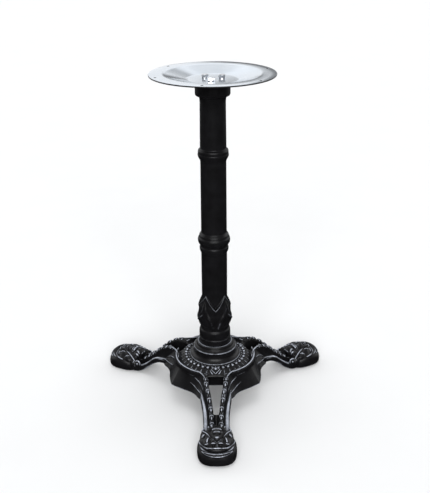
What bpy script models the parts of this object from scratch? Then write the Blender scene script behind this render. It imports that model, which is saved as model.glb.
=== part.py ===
"""Pedestal table base: a cast iron base with three paw feet, a turned cast column and a dished top plate.

Metres, +Z up. The column's axis is the Z axis, and the floor is z = 0.
One leg points along -Y, the other two along 30 and 150 degrees.
"""

import math

import bmesh
import bpy
from mathutils import Matrix, Vector

MM = 0.001
GAP = 0.3 * MM

HEIGHT = 720 * MM
LEG_ANGLES = (-90, 30, 150)
SECTOR = 60

PLATE_R = 125 * MM
PLATE_THICK = 3 * MM
PLATE_RIM_INNER_R = 99 * MM
PLATE_FLOOR_R = 52.6 * MM
PLATE_DEPTH = 11.5 * MM
SCREW_HOLE_R = 2.8 * MM
SCREW_HOLE_CIRCLE_R = 116 * MM
SCREW_HOLE_ANGLES = tuple(20 + 60 * k for k in range(6))

BOLT_ANGLES = (20, 140, 260)
TOP_BOLT_R = 4 * MM
TOP_BOLT_LENGTH = 24 * MM
TOP_BOLT_CIRCLE_R = 19.5 * MM
TOP_BOLT_TWIST = 11
BASE_BOLT_R = 5 * MM
BASE_BOLT_LENGTH = 28 * MM
BASE_BOLT_CIRCLE_R = 22 * MM

COLUMN_TOP_Z = HEIGHT - PLATE_DEPTH - PLATE_THICK - GAP
COLUMN_WALL = 5 * MM
COLUMN_WEB = 14 * MM
COLUMN_WEB_HOLE_R = 9 * MM

SOCKET_R = 34.9 * MM
SOCKET_FLOOR_Z = 96 * MM
HUB_FLOOR_THICK = 8 * MM
COLUMN_FOOT_Z = SOCKET_FLOOR_Z + GAP

CHORD_S = 80 * MM
CHORD_HALF_WIDTH = 23 * MM
CHORD_WALL = 6 * MM
CHORD_BOTTOM_Z = 60 * MM
CHORD_TOP_Z = 84.5 * MM
SKIRT_Z = 48.5 * MM
SKIRT_WALL = 6 * MM

PAW_CENTRE_S = 238.5 * MM
PAW_WALL = 6 * MM

LEVELLER_S = 232 * MM
PAD_R = 15 * MM
BALL_R = 4.8 * MM
BALL_Z = 8 * MM
BOSS_R = 9.5 * MM
BOSS_BOTTOM_Z = 17.6 * MM
BOSS_TOP_Z = 42 * MM
STUD_R = 4 * MM
STUD_NECK_R = 3.2 * MM
STUD_HEXAGON_R = 7.5 * MM
STUD_TOP_Z = 40 * MM


def start_scene():
    """Empty the file and make one collection for the parts and one for the cutters."""
    for obj in list(bpy.data.objects):
        bpy.data.objects.remove(obj)
    parts = bpy.data.collections.new("pedestal_table_base")
    tools = bpy.data.collections.new("cutters")
    bpy.context.scene.collection.children.link(parts)
    bpy.context.scene.collection.children.link(tools)
    return parts, tools


PARTS, TOOLS = start_scene()


def material(name, color, roughness, metallic):
    """Return a Principled material with the given colour, roughness and metallic value."""
    mat = bpy.data.materials.new(name)
    mat.use_nodes = True
    shader = mat.node_tree.nodes["Principled BSDF"]
    shader.inputs["Base Color"].default_value = (*color, 1)
    shader.inputs["Roughness"].default_value = roughness
    shader.inputs["Metallic"].default_value = metallic
    return mat


def add_part(name, mesh, mat):
    """Place a finished mesh in the scene as a named sub-part."""
    obj = bpy.data.objects.new(name, mesh)
    obj.data.materials.append(mat)
    PARTS.objects.link(obj)
    return obj


def add_tool(name, mesh):
    """Place a mesh in the scene as a Boolean operand that is not itself a part."""
    obj = bpy.data.objects.new(name, mesh)
    obj.hide_render = True
    obj.display_type = "WIRE"
    TOOLS.objects.link(obj)
    return obj


def combine(target, tool, operation):
    """Join or cut the target with the tool."""
    boolean = target.modifiers.new(tool.name, "BOOLEAN")
    boolean.operation = operation
    boolean.solver = "EXACT"
    boolean.object = tool
    return boolean


def profile_mesh(name, profile):
    """A wire of (radius, height) pairs in the XZ plane, closed unless both its ends are on the axis."""
    mesh = bpy.data.meshes.new(name)
    points = [(r, 0, z) for r, z in profile]
    count = len(points)
    edges = [(k, k + 1) for k in range(count - 1)]
    if profile[0][0] > 0:
        edges.append((count - 1, 0))
    mesh.from_pydata(points, edges, [])
    return mesh


def turn(obj, steps):
    """Turn the object's closed profile about its Z axis."""
    screw = obj.modifiers.new("turn", "SCREW")
    screw.axis = "Z"
    screw.angle = math.tau
    screw.steps = steps
    screw.render_steps = steps
    screw.use_merge_vertices = True
    screw.merge_threshold = 0.00001
    screw.use_smooth_shade = True
    return screw


def cylinder_mesh(name, radius, bottom, top, sides):
    """An upright closed cylinder on the Z axis."""
    mesh = bpy.data.meshes.new(name)
    bm = bmesh.new()
    bmesh.ops.create_cone(
        bm,
        cap_ends=True,
        segments=sides,
        radius1=radius,
        radius2=radius,
        depth=top - bottom,
        matrix=Matrix.Translation((0, 0, (top + bottom) / 2)),
    )
    bm.to_mesh(mesh)
    bm.free()
    mesh.shade_smooth()
    mesh.set_sharp_from_angle(angle=math.radians(35))
    return mesh


def sphere_mesh(name, radius, segments):
    """A closed sphere on the origin."""
    mesh = bpy.data.meshes.new(name)
    bm = bmesh.new()
    bmesh.ops.create_uvsphere(bm, u_segments=segments, v_segments=segments // 2, radius=radius)
    bm.to_mesh(mesh)
    bm.free()
    mesh.shade_smooth()
    return mesh


def box_mesh(name, low, high):
    """A closed box between two corners."""
    mesh = bpy.data.meshes.new(name)
    bm = bmesh.new()
    size = Vector(high) - Vector(low)
    centre = (Vector(high) + Vector(low)) / 2
    bmesh.ops.create_cube(bm, size=1, matrix=Matrix.Translation(centre) @ Matrix.Diagonal((*size, 1)))
    bm.to_mesh(mesh)
    bm.free()
    return mesh


def loft_mesh(name, sections):
    """A closed skin through sections with equal point counts, capped at both ends."""
    mesh = bpy.data.meshes.new(name)
    bm = bmesh.new()
    rings = [[bm.verts.new(p) for p in section] for section in sections]
    count = len(rings[0])
    for lower, upper in zip(rings, rings[1:]):
        for k in range(count):
            n = (k + 1) % count
            bm.faces.new((lower[k], lower[n], upper[n], upper[k]))
    bm.faces.new(list(reversed(rings[0])))
    bm.faces.new(rings[-1])
    bmesh.ops.recalc_face_normals(bm, faces=bm.faces)
    bm.to_mesh(mesh)
    bm.free()
    return mesh


def interpolate(x, pairs):
    """Read a value at x from (position, value) pairs in rising order."""
    if x <= pairs[0][0]:
        return pairs[0][1]
    for (x0, y0), (x1, y1) in zip(pairs, pairs[1:]):
        if x <= x1:
            return y0 + (y1 - y0) * (x - x0) / (x1 - x0)
    return pairs[-1][1]


def circle_point(radius, degrees):
    """The point at a radius and an angle in plan."""
    return Vector((radius * math.cos(math.radians(degrees)), radius * math.sin(math.radians(degrees)), 0))


def column_profile():
    """The column's outer side from top to foot, then its bore back up."""
    outer = [
        (35.1, 681),
        (34.6, 678.5),
        (31, 676),
        (28.2, 675),
        (26.2, 670),
        (25.9, 664),
        (26.8, 571),
        (27.8, 569),
        (30.8, 564),
        (31.6, 557),
        (30, 551.5),
        (26.8, 546),
        (26.4, 543),
        (27, 390),
        (28.5, 384),
        (32, 379),
        (34, 370),
        (32.4, 364.5),
        (29.4, 360),
        (30.7, 352),
        (29.2, 346),
        (27.5, 341),
        (27.5, 243),
        (31.4, 228),
        (34.4, 214),
        (35.7, 198),
        (37.3, 188),
        (36.6, 180),
        (31, 171),
        (30.4, 167),
        (33.9, 160),
        (34.5, 151),
        (33.6, 144),
        (34.5, 142),
    ]
    wall = COLUMN_WALL / MM
    bore_top = (COLUMN_TOP_Z - COLUMN_WEB) / MM
    bore_foot = (COLUMN_FOOT_Z + COLUMN_WEB) / MM
    web_hole = COLUMN_WEB_HOLE_R / MM
    points = [(web_hole, COLUMN_TOP_Z / MM), (35.1, COLUMN_TOP_Z / MM)]
    points += outer
    points += [(34.5, COLUMN_FOOT_Z / MM), (web_hole, COLUMN_FOOT_Z / MM), (web_hole, bore_foot)]
    points += [(34.5 - wall, bore_foot), (34.5 - wall, 155), (26.5 - wall, 172)]
    points += [(26.5 - wall, 671), (35.1 - wall, bore_top - 6)]
    points += [(35.1 - wall, bore_top), (web_hole, bore_top)]
    return [(r * MM, z * MM) for r, z in points]


def build_column(mat):
    """The hollow column, with bolt holes in its head web and its foot web."""
    column = add_part("column_casting", profile_mesh("column_profile", column_profile()), mat)
    turn(column, 32)
    for k, angle in enumerate(BOLT_ANGLES, 1):
        head_hole = cylinder_mesh("head_hole", TOP_BOLT_R + GAP, COLUMN_TOP_Z - 30 * MM, HEIGHT, 16)
        tool = add_tool(f"column_head_hole_{k}", head_hole)
        tool.location = circle_point(TOP_BOLT_CIRCLE_R, angle)
        combine(column, tool, "DIFFERENCE")
        foot_hole = cylinder_mesh("foot_hole", BASE_BOLT_R + GAP, 60 * MM, COLUMN_FOOT_Z + 30 * MM, 16)
        tool = add_tool(f"column_foot_hole_{k}", foot_hole)
        tool.location = circle_point(BASE_BOLT_CIRCLE_R, angle)
        combine(column, tool, "DIFFERENCE")
    return column


def plate_profile():
    """The plate's section: its flat floor, sloping wall and flat rim."""
    top = HEIGHT
    floor = HEIGHT - PLATE_DEPTH
    return [
        (0, floor),
        (PLATE_FLOOR_R - 2 * MM, floor),
        (PLATE_FLOOR_R + 2 * MM, floor + 0.5 * MM),
        (PLATE_RIM_INNER_R - 3 * MM, top - 0.6 * MM),
        (PLATE_RIM_INNER_R + 1 * MM, top),
        (PLATE_R - 0.6 * MM, top),
        (PLATE_R, top - 0.6 * MM),
        (PLATE_R, top - PLATE_THICK),
        (PLATE_RIM_INNER_R + 1 * MM, top - PLATE_THICK),
        (PLATE_RIM_INNER_R - 3 * MM, top - PLATE_THICK - 0.6 * MM),
        (PLATE_FLOOR_R + 2 * MM, floor - PLATE_THICK + 0.5 * MM),
        (PLATE_FLOOR_R - 2 * MM, floor - PLATE_THICK),
        (0, floor - PLATE_THICK),
    ]


def build_plate(mat):
    """The pressed plate, with table-top screw holes in its rim and bolt holes in its floor."""
    plate = add_part("top_plate", profile_mesh("plate_profile", plate_profile()), mat)
    turn(plate, 60)
    for k, angle in enumerate(SCREW_HOLE_ANGLES, 1):
        hole = cylinder_mesh("screw_hole", SCREW_HOLE_R, HEIGHT - 10 * MM, HEIGHT + 10 * MM, 16)
        tool = add_tool(f"plate_screw_hole_{k}", hole)
        tool.location = circle_point(SCREW_HOLE_CIRCLE_R, angle)
        combine(plate, tool, "DIFFERENCE")
    for k, angle in enumerate(BOLT_ANGLES, 1):
        hole = cylinder_mesh("plate_bolt_hole", TOP_BOLT_R + GAP, HEIGHT - 30 * MM, HEIGHT, 16)
        tool = add_tool(f"plate_bolt_hole_{k}", hole)
        tool.location = circle_point(TOP_BOLT_CIRCLE_R, angle)
        combine(plate, tool, "DIFFERENCE")
    return plate


def hex_bolt(name, mat, across_flats, head_height, shank_r, length):
    """A hexagon bolt that points down, with the underside of its head at its origin."""
    corner_r = across_flats / 2 / math.cos(math.radians(30))
    bolt = add_part(name, cylinder_mesh(name, corner_r, 0, head_height, 6), mat)
    chamfer = add_tool(f"{name}_chamfer", profile_mesh("chamfer", [
        (across_flats / 2 - 0.5 * MM, head_height + 1 * MM),
        (corner_r + 2 * MM, head_height + 1 * MM),
        (corner_r + 2 * MM, head_height - 2 * MM),
        (across_flats / 2 - 0.5 * MM, head_height - 0.2 * MM),
    ]))
    turn(chamfer, 18)
    combine(bolt, chamfer, "DIFFERENCE")
    shank = add_tool(f"{name}_shank", cylinder_mesh("shank", shank_r, -length, 0.5 * MM, 16))
    combine(bolt, shank, "UNION")
    for tool in (chamfer, shank):
        tool.parent = bolt
    return bolt


def washer(name, mat, inner_r, outer_r, thick):
    """A flat washer that stands on its origin."""
    ring = profile_mesh(name, [
        (inner_r, thick),
        (outer_r - 0.3 * MM, thick),
        (outer_r, thick - 0.3 * MM),
        (outer_r, 0),
        (inner_r, 0),
    ])
    obj = add_part(name, ring, mat)
    turn(obj, 20)
    return obj


def build_top_fasteners(mat):
    """Three bolts and washers that hold the plate on the column."""
    floor = HEIGHT - PLATE_DEPTH
    thick = 1.4 * MM
    for k, angle in enumerate(BOLT_ANGLES, 1):
        place = circle_point(TOP_BOLT_CIRCLE_R, angle)
        ring = washer(f"top_washer_{k}", mat, TOP_BOLT_R + GAP, 8.2 * MM, thick)
        ring.location = place + Vector((0, 0, floor + GAP))
        bolt = hex_bolt(f"top_bolt_{k}", mat, 13 * MM, 5.3 * MM, TOP_BOLT_R, TOP_BOLT_LENGTH)
        bolt.location = place + Vector((0, 0, floor + thick + 2 * GAP))
        bolt.rotation_euler.z = math.radians(angle + TOP_BOLT_TWIST * k)


def build_base_fasteners(mat):
    """Three bolts and washers that hold the column down in the base, from beneath."""
    under = SOCKET_FLOOR_Z - HUB_FLOOR_THICK
    thick = 2 * MM
    for k, angle in enumerate(BOLT_ANGLES, 1):
        place = circle_point(BASE_BOLT_CIRCLE_R, angle)
        ring = washer(f"base_washer_{k}", mat, BASE_BOLT_R + GAP, 9.5 * MM, thick)
        ring.location = place + Vector((0, 0, under - GAP))
        ring.rotation_euler.x = math.pi
        bolt = hex_bolt(f"base_bolt_{k}", mat, 16 * MM, 6.4 * MM, BASE_BOLT_R, BASE_BOLT_LENGTH)
        bolt.location = place + Vector((0, 0, under - thick - 2 * GAP))
        bolt.rotation_euler.x = math.pi


def hub_mesh():
    """The turned middle of the base: socket, stepped rings and the groove inside the ridge."""
    under = (SOCKET_FLOOR_Z - HUB_FLOOR_THICK) / MM
    profile = [
        (SOCKET_R / MM, 131),
        (39.5, 131),
        (40.5, 129.5),
        (40.8, 123.5),
        (45.5, 119),
        (46.5, 116.5),
        (47, 110.5),
        (51.5, 101),
        (54.5, 99),
        (56.5, 95.5),
        (60, 94),
        (70, 94),
        (79.5, 86),
        (82, 86.5),
        (85.5, 94),
        (87.5, 94),
        (88, 88),
        (84, 78),
        (72, 80),
        (60, under),
        (9, under),
        (9, SOCKET_FLOOR_Z / MM),
        (SOCKET_R / MM, SOCKET_FLOOR_Z / MM),
    ]
    return profile_mesh("hub_profile", [(r * MM, z * MM) for r, z in profile])


RIDGE_R = ((0, 87), (36, 87.5), (42, 92), (49.5, 108), (60, 114))
SKIRT_EDGE_R = (
    (0, 113),
    (9, 108.5),
    (17, 105),
    (27, 103.2),
    (31, 104.5),
    (35, 108.3),
    (40, 112),
    (44, 121),
    (60, 121),
)


def ridge_r(from_middle):
    """The ridge's radius at an angle from the middle of a sector: it leaves the hub along the legs."""
    return interpolate(from_middle, RIDGE_R) * MM


def skirt_edge_r(from_middle):
    """The skirt's lower outline, with a point in the middle of each sector."""
    return interpolate(from_middle, SKIRT_EDGE_R) * MM


def skirt_mesh():
    """A ring between the ridge and the lower outline, which differ in plan."""
    steps = 60
    sections = []
    for k in range(steps):
        angle = 360 * k / steps
        turned = (angle - LEG_ANGLES[0]) % 120
        from_middle = abs(turned - SECTOR)
        crest = ridge_r(from_middle)
        edge = skirt_edge_r(from_middle)
        points = [
            (crest - 2 * MM, 93.6 * MM),
            (crest + 1.5 * MM, 92.7 * MM),
            (crest + 0.38 * (edge - crest), 74 * MM),
            (edge, SKIRT_Z + 2 * MM),
            (edge - 1 * MM, SKIRT_Z),
            (edge - SKIRT_WALL, SKIRT_Z),
            (crest + 0.38 * (edge - crest) - SKIRT_WALL, 72 * MM),
            (crest - SKIRT_WALL, 84 * MM),
        ]
        sections.append([circle_point(r, angle) + Vector((0, 0, z)) for r, z in points])
    mesh = bpy.data.meshes.new("skirt")
    bm = bmesh.new()
    rings = [[bm.verts.new(p) for p in section] for section in sections]
    count = len(rings[0])
    for k in range(steps):
        here, there = rings[k], rings[(k + 1) % steps]
        for j in range(count):
            n = (j + 1) % count
            bm.faces.new((here[j], here[n], there[n], there[j]))
    bmesh.ops.recalc_face_normals(bm, faces=bm.faces)
    bm.to_mesh(mesh)
    bm.free()
    return mesh


THROUGH_STATIONS = (80.2, 95, 117, 131, 146, 160)
GROOVE_STATIONS = (151, 161.3, 174, 190)
CHANNEL_STATIONS = (92, 118, 132, 147, 161, 175, 187)
RAIL_WALL = 5
GROOVE_DEPTH = 13
GROOVE_INSET = 0.35
LEG_STATIONS = (86, 96, 106, 117, 131, 146, 159.5, 173, 186, 197, 206)


def flange_half_width(s):
    """Half the leg's width at its outer flanges, in millimetres."""
    near_hub = [(86, 33), (116, 34), (127, 33), (138, 31), (150, 28.5)]
    near_paw = [(160, 27.2), (173, 26.8), (186, 27.3), (206, 30)]
    return interpolate(s, near_hub + near_paw)


def arch_z(s):
    """The height of the leg's underside: an arch from the skirt down to the paw."""
    near_hub = [(86, 52), (116, 50), (127, 49.5), (138, 44), (150, 36)]
    near_paw = [(160, 28), (173, 16), (185, 7), (197, 2.4), (206, 2.2)]
    return interpolate(s, near_hub + near_paw)


def rib_top_z(s):
    """The height of the ribs along the top of the leg."""
    near_hub = [(86, 92.9), (106, 94.6), (113, 92.4), (125, 84), (136, 79)]
    near_paw = [(147, 67), (159, 56), (171, 46), (183, 37), (197, 31)]
    return interpolate(s, near_hub + near_paw)


def rib_half_width(s):
    """Half the width over the two ribs' outer sides."""
    near_hub = [(86, 33), (96, 29), (106, 26.5), (117, 25.2), (131, 21.6)]
    near_paw = [(146, 18), (160, 15.4), (173, 13.8), (186, 13), (206, 12.8)]
    return interpolate(s, near_hub + near_paw)


def slot_half_width(s):
    """Half the width of the slot between the ribs."""
    near_hub = [(80, 19), (95, 15.5), (117, 15), (131, 11.5)]
    near_paw = [(146, 8), (160, 6.3), (173, 4.8), (190, 3.5)]
    return interpolate(s, near_hub + near_paw)


def leg_mesh():
    """One leg along +X: a loft of flanged sections that follow the arch."""
    sections = []
    for s in LEG_STATIONS:
        wide = flange_half_width(s)
        rib = rib_half_width(s)
        low = arch_z(s)
        top = rib_top_z(s)
        shoulder = min(low + 11, top - 6)
        flange = [(wide, low), (wide, low + 4), (wide - 1.5, shoulder)]
        half = flange + [(rib + 1, shoulder + 3), (rib, top - 2), (rib - 3, top)]
        outline = half + [(-w, z) for w, z in reversed(half)]
        sections.append([Vector((s, w, z)) * MM for w, z in outline])
    return loft_mesh("leg", sections)


def slot_mesh(stations, narrower, depth_below_top):
    """The slot between the ribs: right through the leg, or to a depth below the ribs."""
    sections = []
    for s in stations:
        wide = slot_half_width(s) - narrower
        top = rib_top_z(s) + 20
        low = -5 if depth_below_top is None else rib_top_z(s) - depth_below_top
        outline = [(wide - 0.8, low), (wide + 0.8, top), (-wide - 0.8, top), (-wide + 0.8, low)]
        sections.append([Vector((s, w, z)) * MM for w, z in outline])
    return loft_mesh("slot", sections)


def channel_mesh(side):
    """The hollow beneath one rail of a leg, a wall thickness inside its rib and its flange."""
    sections = []
    for s in CHANNEL_STATIONS:
        inner = slot_half_width(s) + RAIL_WALL
        outer = flange_half_width(s) - RAIL_WALL
        shoulder = min(arch_z(s) + 11, rib_top_z(s) - 6) - RAIL_WALL
        outline = [(outer, -5), (outer, shoulder), (inner, shoulder + 6), (inner, -5)]
        sections.append([Vector((s, side * w, z)) * MM for w, z in outline])
    return loft_mesh("channel", sections)


PAW_LEVELS = (
    (2, 41.2, 37.8, 0),
    (8, 42.8, 40.4, 0),
    (17, 43.5, 41.7, 0),
    (23, 42.6, 41, -0.3),
    (26.5, 40, 38.6, -1.2),
    (31, 37.5, 36, -2.6),
    (35, 31.5, 31.5, -7),
    (43, 26, 25, -12),
    (49, 17.5, 15.5, -16),
)


def paw_outline(half_length, half_width, centre_s, height, inset):
    """A boxy oval in plan, for one level of the paw."""
    count = 28
    power = 2 / 2.7
    points = []
    for k in range(count):
        c = math.cos(math.tau * k / count)
        w = math.sin(math.tau * k / count)
        x = math.copysign(abs(c) ** power, c) * (half_length - inset)
        y = math.copysign(abs(w) ** power, w) * (half_width - inset)
        points.append(Vector((centre_s + x, y, height)) * MM)
    return points


def paw_mesh():
    """The paw's outer form along +X: a plinth, a stepped lip and a rounded top."""
    centre = PAW_CENTRE_S / MM
    levels = [paw_outline(a, b, centre + d, z, 0) for z, a, b, d in PAW_LEVELS]
    return loft_mesh("paw", levels)


def paw_hollow_mesh():
    """The hollow beneath the paw, one wall thickness inside it."""
    centre = PAW_CENTRE_S / MM
    wall = PAW_WALL / MM
    levels = [paw_outline(PAW_LEVELS[0][1], PAW_LEVELS[0][2], centre, -3, wall)]
    levels += [paw_outline(a, b, centre + d, z - wall * 0.6, wall) for z, a, b, d in PAW_LEVELS[2:7]]
    return loft_mesh("paw_hollow", levels)


def turn_to_leg(tool, degrees):
    """Swing a piece modelled along +X round to its leg."""
    tool.rotation_euler.z = math.radians(degrees)
    return tool


def cut_leg(base, k, angle):
    """Cut a leg's slot and groove, and the hollows beneath its rails and its paw."""
    slot = add_tool(f"slot_{k}", slot_mesh(THROUGH_STATIONS, 0, None))
    groove = add_tool(f"groove_{k}", slot_mesh(GROOVE_STATIONS, GROOVE_INSET, GROOVE_DEPTH))
    left = add_tool(f"channel_{k}_1", channel_mesh(-1))
    right = add_tool(f"channel_{k}_2", channel_mesh(1))
    hollow = add_tool(f"paw_hollow_{k}", paw_hollow_mesh())
    for tool in (slot, groove, left, right, hollow):
        combine(base, turn_to_leg(tool, angle), "DIFFERENCE")


def add_boss(base, k, angle):
    """Add the tapped boss that takes a leg's leveller."""
    place = circle_point(LEVELLER_S, angle)
    boss = add_tool(f"boss_{k}", cylinder_mesh("boss", BOSS_R, BOSS_BOTTOM_Z, BOSS_TOP_Z, 20))
    boss.location = place
    combine(base, boss, "UNION")
    bore = cylinder_mesh("tapping", STUD_R + GAP, 5 * MM, BOSS_TOP_Z, 16)
    tapping = add_tool(f"tapping_{k}", bore)
    tapping.location = place
    combine(base, tapping, "DIFFERENCE")


def build_base(mat):
    """The base casting: hub, skirt, legs and hollow paws in one piece of iron."""
    base = add_part("base_casting", hub_mesh(), mat)
    turn(base, 48)
    combine(base, add_tool("skirt", skirt_mesh()), "UNION")
    wall_low = (CHORD_S - CHORD_WALL, -CHORD_HALF_WIDTH, CHORD_BOTTOM_Z)
    wall_high = (CHORD_S, CHORD_HALF_WIDTH, CHORD_TOP_Z)
    for k, angle in enumerate(LEG_ANGLES, 1):
        leg = add_tool(f"leg_{k}", leg_mesh())
        wall = add_tool(f"chord_wall_{k}", box_mesh("chord_wall", wall_low, wall_high))
        paw = add_tool(f"paw_{k}", paw_mesh())
        for tool in (leg, wall, paw):
            combine(base, turn_to_leg(tool, angle), "UNION")
    for k, angle in enumerate(LEG_ANGLES, 1):
        cut_leg(base, k, angle)
        add_boss(base, k, angle)
    for k, angle in enumerate(BOLT_ANGLES, 1):
        hole = cylinder_mesh("base_bolt_hole", BASE_BOLT_R + GAP, 60 * MM, SOCKET_FLOOR_Z + 5 * MM, 16)
        tool = add_tool(f"base_bolt_hole_{k}", hole)
        tool.location = circle_point(BASE_BOLT_CIRCLE_R, angle)
        combine(base, tool, "DIFFERENCE")
    return base


def arc_point(radius, degrees, height):
    """The point of a section's arc about the axis at a height: its radius and its own height."""
    lean = math.radians(degrees)
    return (radius * math.cos(lean), height + radius * math.sin(lean))


def pad_profile():
    """The pad's section, with a round socket that keeps the stud's ball."""
    socket_r = BALL_R + GAP
    mouth = arc_point(socket_r, 38, BALL_Z)
    outer = [
        mouth,
        (7.5 * MM, mouth[1]),
        (8.5 * MM, 9 * MM),
        (9.5 * MM, 6 * MM),
        (PAD_R - 1 * MM, 4.5 * MM),
        (PAD_R, 3.5 * MM),
        (PAD_R, 0.8 * MM),
        (PAD_R - 0.8 * MM, 0),
        (1 * MM, 0),
    ]
    inner = [(1 * MM, BALL_Z - math.sqrt(socket_r**2 - (1 * MM) ** 2))]
    inner += [arc_point(socket_r, angle, BALL_Z) for angle in (-60, -40, -20, 0, 20)]
    return outer + inner


def build_levellers(stud_mat, pad_mat):
    """A threaded stud and a swivel pad under each paw."""
    for k, angle in enumerate(LEG_ANGLES, 1):
        place = circle_point(LEVELLER_S, angle)
        pad = add_part(f"leveller_pad_{k}", profile_mesh("pad_profile", pad_profile()), pad_mat)
        pad.location = place
        turn(pad, 20)
        stud = add_part(f"leveller_stud_{k}", sphere_mesh("ball", BALL_R, 12), stud_mat)
        stud.location = place + Vector((0, 0, BALL_Z))
        shank = cylinder_mesh("stud_shank", STUD_R, 6 * MM, STUD_TOP_Z - BALL_Z, 16)
        neck = cylinder_mesh("stud_neck", STUD_NECK_R, 2 * MM, 6.5 * MM, 16)
        collar = cylinder_mesh("stud_hexagon", STUD_HEXAGON_R, 5 * MM, 9 * MM, 6)
        for label, mesh in (("neck", neck), ("hexagon", collar), ("shank", shank)):
            tool = add_tool(f"stud_{label}_{k}", mesh)
            tool.parent = stud
            combine(stud, tool, "UNION")


def build():
    """Make every sub-part with its own material."""
    build_base(material("black_cast_iron", (0.02, 0.02, 0.021), 0.42, 0.2))
    build_column(material("black_cast_column", (0.02, 0.02, 0.021), 0.4, 0.2))
    build_plate(material("zinc_plate", (0.62, 0.64, 0.68), 0.35, 0.9))
    build_top_fasteners(material("bright_zinc", (0.75, 0.76, 0.78), 0.25, 1))
    build_base_fasteners(material("zinc_steel", (0.6, 0.61, 0.63), 0.35, 1))
    build_levellers(
        material("leveller_steel", (0.6, 0.61, 0.63), 0.35, 1),
        material("leveller_plastic", (0.03, 0.03, 0.03), 0.6, 0),
    )


build()
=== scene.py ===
"""Looks of the cast iron pedestal table base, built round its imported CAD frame.

Shapes are worked out in millimetres, in the frame's own axes. A leg is modelled along +X as (s, w, z):
s is the distance from the column's axis, w the distance to one side, and z the height.
"""

import math

import bmesh
import bpy
import numpy as np
from mathutils import Matrix, Vector


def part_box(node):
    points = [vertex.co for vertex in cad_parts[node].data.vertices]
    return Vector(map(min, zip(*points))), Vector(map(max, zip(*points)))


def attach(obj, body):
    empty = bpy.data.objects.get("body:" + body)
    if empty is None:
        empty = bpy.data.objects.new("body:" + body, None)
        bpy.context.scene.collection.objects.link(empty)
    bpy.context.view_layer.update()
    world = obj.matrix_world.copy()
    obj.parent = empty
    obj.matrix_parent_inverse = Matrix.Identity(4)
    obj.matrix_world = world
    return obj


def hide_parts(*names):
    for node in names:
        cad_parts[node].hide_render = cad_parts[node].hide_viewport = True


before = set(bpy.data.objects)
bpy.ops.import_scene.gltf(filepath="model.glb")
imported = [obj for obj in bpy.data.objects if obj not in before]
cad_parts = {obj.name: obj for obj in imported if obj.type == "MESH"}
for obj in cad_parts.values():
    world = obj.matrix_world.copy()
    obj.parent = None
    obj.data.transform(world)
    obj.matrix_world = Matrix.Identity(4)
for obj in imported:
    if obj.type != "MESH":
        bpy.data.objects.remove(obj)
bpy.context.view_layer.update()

MM = 0.001
TAU = math.tau
LEG_ANGLES = (-90, 30, 150)
SECTOR = 60
BOLT_ANGLES = (20, 140, 260)
TOP_BOLT_CIRCLE_R = 19.5
TOP_BOLT_HOLE_R = 4.3
BASE_BOLT_CIRCLE_R = 22
BASE_BOLT_HOLE_R = 5.3
LEVELLER_S = 232

BASE_CELL = 1.0
COLUMN_CELL = 0.8


# ---- making shapes


def in_scene(name, data):
    """A new object in the scene."""
    obj = bpy.data.objects.new(name, data)
    bpy.context.scene.collection.objects.link(obj)
    return obj


class Shape:
    """Closed skins gathered into one mesh."""

    def __init__(self):
        self.points = []
        self.faces = []

    def add(self, skin, place=None):
        """Add one (points, faces) skin, moved by a matrix if one is given."""
        points, faces = skin
        start = len(self.points)
        if place is not None:
            points = [place @ Vector(p) for p in points]
        self.points.extend(tuple(p) for p in points)
        self.faces.extend(tuple(start + k for k in face) for face in faces)

    def object(self, name):
        """Make the mesh object, in metres, with every skin facing out."""
        mesh = bpy.data.meshes.new(name)
        mesh.from_pydata([(x * MM, y * MM, z * MM) for x, y, z in self.points], [], self.faces)
        bm = bmesh.new()
        bm.from_mesh(mesh)
        bmesh.ops.recalc_face_normals(bm, faces=bm.faces)
        bm.to_mesh(mesh)
        bm.free()
        return in_scene(name, mesh)


def around(degrees):
    """The turn about Z that takes +X to an angle in plan."""
    return Matrix.Rotation(math.radians(degrees), 4, "Z")


def at_angle(degrees, radius, height=0):
    """Stand a piece modelled on the Z axis at a radius and an angle in plan."""
    return around(degrees) @ Matrix.Translation((radius, 0, height))


def ring_faces(rings, count, closed):
    """Quads between rings of equal count."""
    faces = []
    for i in range(rings if closed else rings - 1):
        a = i * count
        b = (i + 1) % rings * count
        for k in range(count):
            n = (k + 1) % count
            faces.append((a + k, a + n, b + n, b + k))
    return faces


def loft(sections):
    """A skin through sections of equal count, capped at both ends."""
    count = len(sections[0])
    points = [p for section in sections for p in section]
    faces = ring_faces(len(sections), count, False)
    faces.append(tuple(reversed(range(count))))
    faces.append(tuple(range((len(sections) - 1) * count, len(sections) * count)))
    return points, faces


def hoop(sections):
    """A skin through sections that go all the way round and meet."""
    points = [p for section in sections for p in section]
    return points, ring_faces(len(sections), len(sections[0]), True)


def circle(steps):
    """The cosine and sine of even steps round a circle."""
    return [(math.cos(TAU * k / steps), math.sin(TAU * k / steps)) for k in range(steps)]


def turned(profile, steps):
    """A closed outline of (radius, height) pairs turned about Z."""
    return hoop([[(r * c, r * w, z) for r, z in profile] for c, w in circle(steps)])


def solid_turned(profile, steps):
    """A solid of revolution: (radius, height) pairs from top to foot, capped flat at both ends."""
    return loft([[(r * c, r * w, z) for c, w in circle(steps)] for r, z in profile])


def pin(radius, top, foot, steps=24):
    """A plain round pin."""
    return solid_turned([(radius, top), (radius, foot)], steps)


def smooth_line(points, steps):
    """A Catmull-Rom curve through the points."""
    pts = [Vector(p) for p in points]
    pts = [pts[0] * 2 - pts[1]] + pts + [pts[-1] * 2 - pts[-2]]
    line = []
    for a, b, c, d in zip(pts, pts[1:], pts[2:], pts[3:]):
        for k in range(steps):
            t = k / steps
            bend = (2 * a - 5 * b + 4 * c - d) * t**2 + (3 * b - a - 3 * c + d) * t**3
            line.append(0.5 * (2 * b + (c - a) * t + bend))
    line.append(pts[-2])
    return line


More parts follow.
